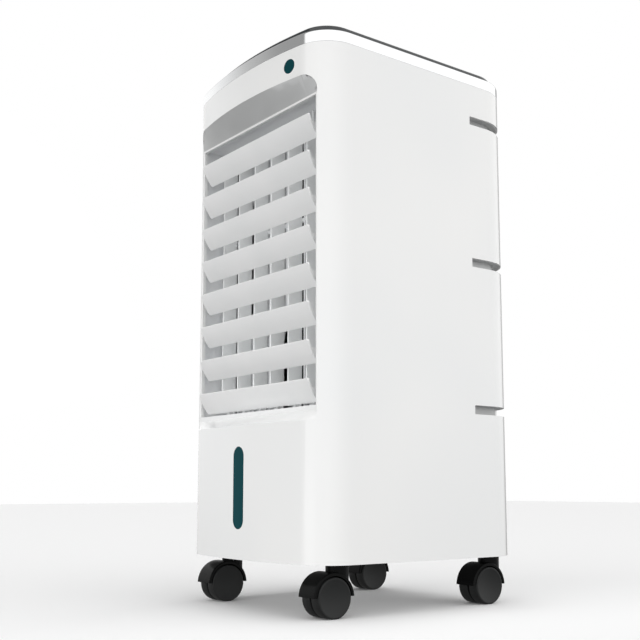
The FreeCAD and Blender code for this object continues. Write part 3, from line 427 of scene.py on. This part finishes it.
# ---- pieces -----------------------------------------------------------------------------
def cross_recess_screws():
    """Zinc-plated pan heads with a cross recess; one is modelled and the others are copies."""
    head_r, head_h, land, crown_r, shank_r = 3.0, 1.8, 0.7, 0.45, 1.4
    slot_w, slot_l, slot_d, slot_edge, tip_r = 0.8, 3.6, 1.1, 0.1, 0.3
    bpy.ops.mesh.primitive_cylinder_add(vertices=40, radius=head_r * MM, depth=head_h * MM,
                                        location=(0, 0, -head_h / 2 * MM))
    head = bpy.context.object
    settle(head)
    edit(head)
    pick(head, lambda face: face.normal.z > 0.9)
    bpy.ops.mesh.inset(thickness=land * MM)
    leave()
    round_edges(head, crown_r, 3)
    for turn in (0, 90):
        bpy.ops.mesh.primitive_cube_add(size=1, rotation=(0, 0, math.radians(turn)))
        slot = bpy.context.object
        slot.scale = (slot_l * MM, slot_w * MM, 2 * slot_d * MM)
        settle(slot)
        round_edges(slot, slot_edge, 1)
        apply_modifier(head, "BOOLEAN", object=slot, operation="DIFFERENCE", solver="EXACT")
        bpy.data.objects.remove(slot)
    twins = []
    for low, high in islands("screws"):
        size = high - low
        length = max(size) / MM - head_h
        bpy.ops.mesh.primitive_cylinder_add(vertices=20, radius=shank_r * MM, depth=length * MM,
                                            location=(0, 0, -(head_h + length / 2) * MM))
        shank = bpy.context.object
        settle(shank)
        round_edges(shank, tip_r, 1)
        twin = joined([copy_of(head), shank])
        middle = (low + high) / 2
        if size.z > size.y:
            twin.rotation_euler = (math.radians(180), 0, 0)
            twin.location = (middle.x, middle.y, low.z)
        else:
            twin.rotation_euler = (math.radians(-90), 0, 0)
            twin.location = (middle.x, high.y, middle.z)
        settle(twin)
        twins.append(twin)
    bpy.data.objects.remove(head)
    screws = joined(twins)
    smooth(screws, 30)
    finish_piece(screws, "cross_recess_screws", "screw_steel", nodes["screws"]["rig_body"],
                 ("screws",))


def rolling_pair(place):
    """Two moulded wheels, each with a soft rim and a shallow dish, and their axle."""
    node = "caster_wheels_" + place
    low, high = (Vector(corner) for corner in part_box(node))
    middle = (low + high) / 2
    radius, half = (high.z - low.z) / 2, (high.x - low.x) / 2
    inner = 1.3 * MM                   # middle of the pair to a wheel's inner face
    rim_r, border, bank, dish = 1.3, 0.9 * MM, 0.5 * MM, 0.3 * MM
    side_face = 100 * MM * MM          # only a wheel's round side is larger than this
    axle_r, axle_short, axle_edge = 2.5 * MM, 6 * MM, 0.3
    pieces = []
    for side in (-1, 1):
        bpy.ops.mesh.primitive_cylinder_add(
            vertices=96, radius=radius, depth=half - inner, rotation=(0, math.radians(90), 0),
            location=(middle.x + side * (half + inner) / 2, middle.y, middle.z))
        wheel = bpy.context.object
        settle(wheel)
        round_edges(wheel, rim_r, 4)
        edit(wheel)
        pick(wheel, lambda face: face.normal.x * side > 0.999 and face.area > side_face)
        bpy.ops.mesh.inset(thickness=border)
        bpy.ops.mesh.inset(thickness=bank)
        bpy.ops.transform.translate(value=(-side * dish, 0, 0))
        leave()
        pieces.append(wheel)
    bpy.ops.mesh.primitive_cylinder_add(vertices=32, radius=axle_r, depth=2 * half - axle_short,
                                        rotation=(0, math.radians(90), 0), location=middle)
    axle = bpy.context.object
    settle(axle)
    round_edges(axle, axle_edge, 1)
    pair = joined(pieces + [axle])
    smooth(pair, 40)
    finish_piece(pair, "rolling_pair_" + place, slot_of[node], nodes[node]["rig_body"], (node,))


def fluted_pad():
    """Corrugated paper sheets stood side by side, their flutes sloping up and down in turn."""
    low, high = (Vector(corner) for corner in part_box("cooling_pad"))
    size, middle = high - low, (low + high) / 2
    wave, gap, rise, slope = 11 * MM, 6.4 * MM, 5.2 * MM, 5 * MM
    paper, fold_r, edge_gap = 0.5 * MM, 1.6, 1 * MM
    height = size.z - 2 * slope
    folds = 2 * int(height / wave)
    bpy.ops.mesh.primitive_grid_add(x_subdivisions=folds, y_subdivisions=1, size=1)
    sheet = bpy.context.object
    sheet.scale = (height, size.y, 1)
    sheet.rotation_euler = (0, math.radians(90), 0)
    settle(sheet)
    edit(sheet, "VERT")
    pick(sheet, lambda spot: round((spot.co.z / height + 0.5) * folds) % 2 == 0, "vertices")
    bpy.ops.transform.translate(value=(rise, 0, 0))
    pick(sheet, lambda spot: spot.co.y > 0, "vertices")
    bpy.ops.transform.translate(value=(0, 0, slope))
    leave()
    round_edges(sheet, fold_r, 2, 20)
    apply_modifier(sheet, "SOLIDIFY", thickness=paper, offset=0)
    count = int((size.x - rise - edge_gap) / gap)
    twins = []
    for number in range(count):
        twin = copy_of(sheet)
        start = middle.x - (count - 1) / 2 * gap + number * gap
        if number % 2:
            twin.rotation_euler = (0, 0, math.radians(180))
            start += rise / 2
        else:
            start -= rise / 2
        twin.location = (start, middle.y, middle.z)
        settle(twin)
        twins.append(twin)
    bpy.data.objects.remove(sheet)
    pad = joined(twins)
    smooth(pad, 50)
    finish_piece(pad, "fluted_cooling_pad", "pad_paper", nodes["cooling_pad"]["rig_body"],
                 ("cooling_pad",))


def dust_net():
    """Net of nylon threads welded into the filter frame. Its threads stand 4 mm apart, wider
    than the real ones, because a finer net would not show."""
    low, high = (Vector(corner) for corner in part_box("filter_mesh"))
    size, middle = high - low, (low + high) / 2
    pitch, thread, edge_gap = 4 * MM, 0.55 * MM, 0.6 * MM
    bpy.ops.mesh.primitive_grid_add(x_subdivisions=int(size.x / pitch),
                                    y_subdivisions=int(size.z / pitch), size=1)
    net = bpy.context.object
    net.scale = (size.x - edge_gap, size.z - edge_gap, 1)
    net.rotation_euler = (math.radians(90), 0, 0)
    net.location = middle
    settle(net)
    apply_modifier(net, "WIREFRAME", thickness=thread, use_even_offset=True)
    smooth(net, 60)
    finish_piece(net, "dust_net", "mesh_grey", nodes["filter_mesh"]["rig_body"], ("filter_mesh",))


def bar(x, y, length, width, turn=0.0):
    """Flat stroke of a button's mark, with softened corners."""
    bpy.ops.mesh.primitive_plane_add(size=1, location=(x * MM, y * MM, 0),
                                     rotation=(0, 0, math.radians(turn)))
    stroke = bpy.context.object
    stroke.scale = (length * MM, width * MM, 1)
    settle(stroke)
    edit(stroke, "VERT")
    bpy.ops.mesh.select_all(action="SELECT")
    bpy.ops.mesh.bevel(offset=0.2 * MM, segments=2, affect="VERTICES")
    leave()
    return stroke


def ring(radius, width):
    """Flat ring of a button's mark; the radius is that of the middle of the stroke."""
    bpy.ops.mesh.primitive_circle_add(vertices=40, radius=(radius + width / 2) * MM,
                                      fill_type="NGON")
    hoop = bpy.context.object
    edit(hoop)
    bpy.ops.mesh.select_all(action="SELECT")
    bpy.ops.mesh.inset(thickness=width * MM)
    bpy.ops.mesh.delete(type="FACE")
    leave()
    return hoop


def blade(turn):
    """Petal of the fan mark: a disc stretched away from the middle."""
    away, reach = math.radians(turn), 1.5 * MM
    bpy.ops.mesh.primitive_circle_add(
        vertices=24, radius=0.9 * MM, fill_type="NGON", rotation=(0, 0, away),
        location=(reach * math.cos(away), reach * math.sin(away), 0))
    petal = bpy.context.object
    petal.scale = (1.35, 0.75, 1)
    settle(petal)
    return petal


def drop():
    """Drop of the water mark: a disc whose upper part is drawn out in two steps."""
    bpy.ops.mesh.primitive_circle_add(vertices=32, radius=1.7 * MM, fill_type="NGON",
                                      location=(0, -0.6 * MM, 0))
    shape = bpy.context.object
    settle(shape)
    edit(shape, "VERT")
    pick(shape, lambda spot: spot.co.y > 0.95 * MM, "vertices")
    bpy.ops.transform.translate(value=(0, 0.9 * MM, 0))
    pick(shape, lambda spot: spot.co.y > 1.95 * MM, "vertices")
    bpy.ops.transform.translate(value=(0, 1.0 * MM, 0))
    leave()
    return shape


def button_marks():
    """Printed marks on the five buttons: power, fan, swing, water and timer. Their strokes
    are given in mm from the button's middle."""
    ink = 0.12 * MM
    marks = [
        lambda: [ring(2.5, 0.5), bar(0, 1.9, 0.5, 2.6)],
        lambda: [blade(90), blade(210), blade(330)],
        lambda: [bar(-2, 0, 3.8, 0.5, 60), bar(0, 0, 4.6, 0.5, 90), bar(2, 0, 3.8, 0.5, 120)],
        lambda: [drop()],
        lambda: [ring(2.7, 0.45), bar(0, 0.8, 0.45, 2.0), bar(0.6, 0, 1.5, 0.45)],
    ]
    for number, strokes in enumerate(marks, 1):
        node = "button_%d" % number
        low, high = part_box(node)
        mark = joined(strokes())
        apply_modifier(mark, "SOLIDIFY", thickness=ink, offset=1)
        mark.location = ((low[0] + high[0]) / 2, (low[1] + high[1]) / 2, high[2])
        settle(mark)
        finish_piece(mark, "mark_" + node, "link_white", nodes[node]["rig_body"])


def visor_shade_skin():
    """Grey skin on the visor: the shell's sloping faces above the outlet, lifted off
    as a skin of their own. Its grey is painted shade, for the shade that falls on these downward
    faces."""
    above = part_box("louvre_1")[1][2]
    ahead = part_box("louvre_frame")[0][1]
    skin = merged_copy("main_shell", flatten=False)
    downward, forward, shade_skin_depth = -0.03, -0.02, 0.15 * MM
    edit(skin)
    pick(skin, lambda face: not (face.normal.z < downward and face.normal.y < forward
                                 and face.center.z > above and face.center.y < ahead))
    bpy.ops.mesh.delete(type="FACE")
    leave()
    # thin grey skin over the visor's faces: painted shade, not a paint the cooler has
    apply_modifier(skin, "SOLIDIFY", thickness=shade_skin_depth, offset=1)
    smooth(skin, 40)
    finish_piece(skin, "visor_shade_skin", "groove_grey", nodes["main_shell"]["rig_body"])


# Radius of the moulded edges, mm. Other nodes are replaced by the pieces above, or stay as
# the frame gives them.
edges_mm = {
    "main_shell": 0.4, "rear_panel": 0.7, "trim_band": 0.4, "top_cover": 0.5, "base_tray": 0.5,
    "outlet_grille": 0.3, "louvre_frame": 0.3, "water_tank": 0.8,
    "ir_window": 0.4, "level_window": 0.4, "groove_liners": 0.25, "cord_gland": 0.3,
}
for number in range(1, 9):
    edges_mm["louvre_%d" % number] = 0.5
for number in range(1, 8):
    edges_mm["vane_%d" % number] = 0.35
for number in range(1, 6):
    edges_mm["button_%d" % number] = 0.2
corners = ("front_left", "front_right", "rear_left", "rear_right")
for place in corners:
    edges_mm["caster_hood_" + place] = 0.6
for node, edge in edges_mm.items():
    moulded(node, edge)
for place in corners:
    rolling_pair(place)
cross_recess_screws()
fluted_pad()
dust_net()
button_marks()
visor_shade_skin()


# ---- studio -----------------------------------------------------------------------------
def studio():
    """Pale floor that throws no light back, and a sky like a light tent: bright above,
    weaker from below and from an upright band on the left, so that rounded and downward
    faces keep their shape. The camera itself sees it plain white."""
    bpy.ops.mesh.primitive_plane_add(size=14.0, location=(0, 0, 0))
    floor = bpy.context.object
    floor.name = "studio_floor"
    floor.visible_diffuse = False
    floor.visible_glossy = False
    paper = new_material("studio_paper_matt", Roughness=0.9, Base_Color=linear("#FBFBFB"))[0]
    floor.data.materials.append(paper)
    world = bpy.data.worlds.new("studio_sky")
    world.use_nodes = True
    tree = world.node_tree
    sky = tree.nodes["Background"]
    sky.inputs["Color"].default_value = linear("#FFFFFF")
    way = add_node(tree, "ShaderNodeTexCoord").outputs["Generated"]
    axes = add_node(tree, "ShaderNodeSeparateXYZ", links={"Vector": way})
    across_x = add_node(tree, RANGE, {"From Min": -1.0, "From Max": 1.0},
                        {"Value": axes.outputs["X"]})
    sides = add_node(tree, RAMP, links={"Fac": across_x}, stops=[
        (0.0, "#FFFFFF"), (0.05, "#F0F0F0"), (0.12, "#B4B4B4"), (0.2, "#929292"), (0.36, "#8C8C8C"),
        (0.41, "#FFFFFF"), (1.0, "#FFFFFF")])
    up = add_node(tree, RANGE, {
        "From Min": -0.25, "From Max": 0.12, "To Min": 0.30, "To Max": 1.2,
    }, {"Value": axes.outputs["Z"]})
    tent = add_node(tree, MATHS, {"operation": "MULTIPLY"}, {0: sides, 1: up})
    path = add_node(tree, "ShaderNodeLightPath")
    seen = add_node(tree, MATHS, {"operation": "MAXIMUM"},
                    {0: tent, 1: path.outputs["Is Camera Ray"]})
    feed(tree, sky, Strength=seen)
    bpy.context.scene.world = world
    bpy.context.scene.view_settings.view_transform = "Standard"


def soft_box(name, place, aim, width, height, watts):
    """Rectangular light aimed at a point. It does not show itself, nor in reflections."""
    light = bpy.data.lights.new(name, "AREA")
    light.shape = "RECTANGLE"
    light.size = width
    light.size_y = height
    light.energy = watts
    thing = bpy.data.objects.new(name, light)
    bpy.context.scene.collection.objects.link(thing)
    thing.location = place
    thing.rotation_euler = (Vector(aim) - Vector(place)).to_track_quat("-Z", "Y").to_euler()
    thing.visible_camera = False
    thing.visible_glossy = False


def camera():
    """Camera low at the front right. The azimuth counts from the front; the lift is how far
    it looks up."""
    azimuth, lift = math.radians(53.20), math.radians(7.20)
    view = bpy.data.cameras.new("camera")
    view.lens = 55.215
    view.sensor_width = 36.0
    view.shift_y = 0.0703
    thing = bpy.data.objects.new("camera", view)
    bpy.context.scene.collection.objects.link(thing)
    thing.location = (0.8544, -0.6783, 0.1216)
    heading = Vector((-math.sin(azimuth) * math.cos(lift), math.cos(azimuth) * math.cos(lift),
                      math.sin(lift)))
    thing.rotation_euler = heading.to_track_quat("-Z", "Y").to_euler()
    bpy.context.scene.camera = thing


studio()
camera()
# name, place, point it aims at, width, height, watts
soft_box("key_side", (2.3, 1.0, 0.6), (0, 0, 0.3), 1.6, 1.2, 6)
soft_box("fill_front", (0.4, -2.6, 0.5), (0, 0, 0.3), 1.4, 1.0, 6.2)
soft_box("low_front", (0.05, -0.9, 0.02), (0, -0.12, 0.42), 0.6, 0.25, 2.6)
# stands inside the air outlet, which the others hardly reach
soft_box("duct_glow", (0, -0.113, 0.354), (0, 0, 0.354), 0.19, 0.29, 0.06)
